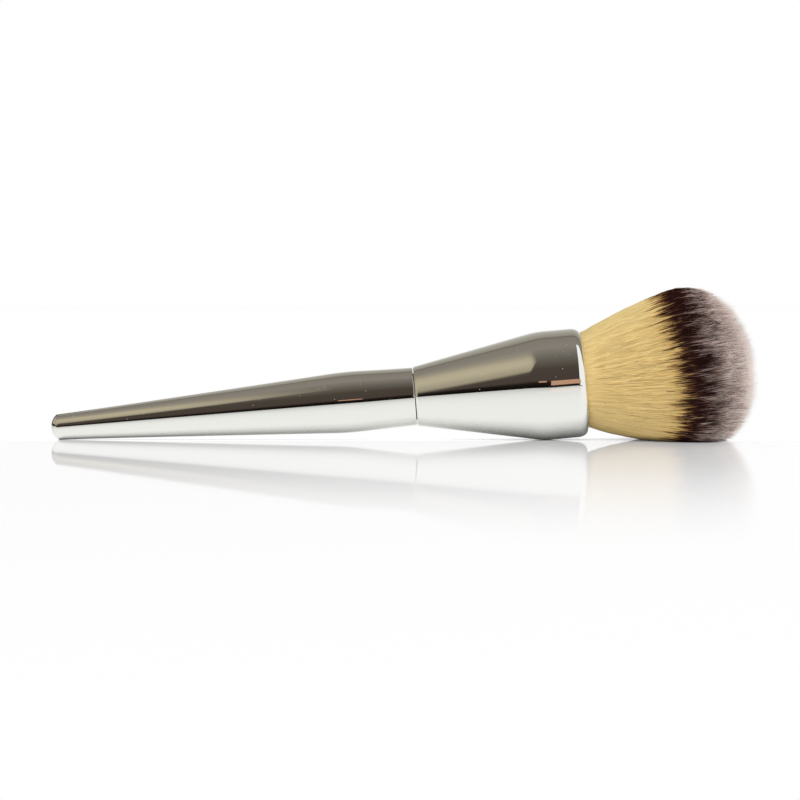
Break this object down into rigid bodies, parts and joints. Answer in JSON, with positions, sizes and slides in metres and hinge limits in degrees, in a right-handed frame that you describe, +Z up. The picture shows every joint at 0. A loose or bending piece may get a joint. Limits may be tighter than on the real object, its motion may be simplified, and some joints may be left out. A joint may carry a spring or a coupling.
{
  "type": "powder brush",
  "caption": "Powder brush lying on its side: plated tapered handle, plated conical ferrule with a rolled lip, and a flared, domed tuft of soft filaments.",
  "frame": {"origin": "centre of the bounding box's underside, on the surface that the brush lies on", "axes": "+X towards the bristle tips, +Z up, +Y to the left of someone who looks along +X; the brush's own axis lies in the XZ plane and rises 4.9 degrees towards the bristles"},
  "size_m": [0.1934, 0.0462, 0.0413],
  "materials": {
    "plated_shell": "polished",
    "steel": "satin",
    "moulded_plastic": "satin",
    "cured_resin": "gloss",
    "thread": "matte",
    "filament": "matte"
  },
  "bodies": {
    "root": {"handle_shell": "plated_shell", "handle_weight": "steel", "tenon_plug": "moulded_plastic", "handle_glue_bead": "cured_resin", "ferrule_glue_bead": "cured_resin", "ferrule": "plated_shell", "ferrule_liner": "moulded_plastic", "root_potting": "cured_resin", "root_tie": "thread", "bristle_tuft": "filament"}
  },
  "joints": []
}
